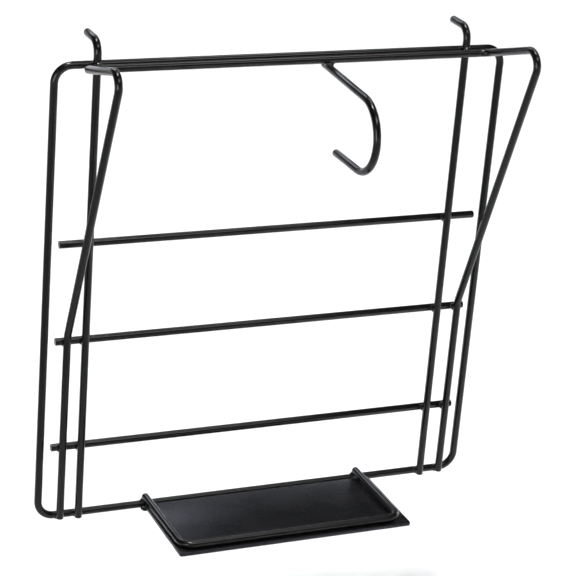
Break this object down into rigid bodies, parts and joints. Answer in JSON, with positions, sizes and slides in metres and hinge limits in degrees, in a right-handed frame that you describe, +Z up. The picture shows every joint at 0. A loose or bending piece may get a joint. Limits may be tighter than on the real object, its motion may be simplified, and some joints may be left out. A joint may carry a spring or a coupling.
{
  "type": "circular saw wall rack",
  "caption": "Welded wire rack that hangs on a panel by rear pins: a railed tray for a circular saw's base, side arms that hold the saw upright and a hook for its cord.",
  "frame": {"origin": "midway between the two hanging pins, on the face of the panel that they enter", "axes": "+Z up, +X to the right seen from the front, +Y into the wall, so the rack stands out towards -Y"},
  "size_m": [0.3764, 0.1284, 0.3986],
  "materials": {
    "black_wire": "satin black coat",
    "black_plate": "satin black coat"
  },
  "bodies": {
    "root": {"cord_hook": "black_wire", "left_plate_fillet": "black_wire", "left_upright": "black_wire", "lower_cross_bar": "black_wire", "middle_cross_bar": "black_wire", "outer_frame": "black_wire", "right_plate_fillet": "black_wire", "right_upright": "black_wire", "side_arm_wire": "black_wire", "tray_plate": "black_plate", "tray_rim": "black_wire", "upper_cross_bar": "black_wire", "weld_hook_front_bar": "black_wire", "weld_left_arm_bottom_rail": "black_wire", "weld_left_arm_lower_bar": "black_wire", "weld_left_arm_middle_bar": "black_wire", "weld_left_plate_corner": "black_wire", "weld_left_rim_bottom_rail": "black_wire", "weld_left_upright_bottom_rail": "black_wire", "weld_left_upright_front_bar": "black_wire", "weld_left_upright_lower_bar": "black_wire", "weld_left_upright_middle_bar": "black_wire", "weld_left_upright_top_rail": "black_wire", "weld_left_upright_upper_bar": "black_wire", "weld_right_arm_bottom_rail": "black_wire", "weld_right_arm_lower_bar": "black_wire", "weld_right_arm_middle_bar": "black_wire", "weld_right_plate_corner": "black_wire", "weld_right_rim_bottom_rail": "black_wire", "weld_right_upright_bottom_rail": "black_wire", "weld_right_upright_front_bar": "black_wire", "weld_right_upright_lower_bar": "black_wire", "weld_right_upright_middle_bar": "black_wire", "weld_right_upright_top_rail": "black_wire", "weld_right_upright_upper_bar": "black_wire"}
  },
  "joints": []
}
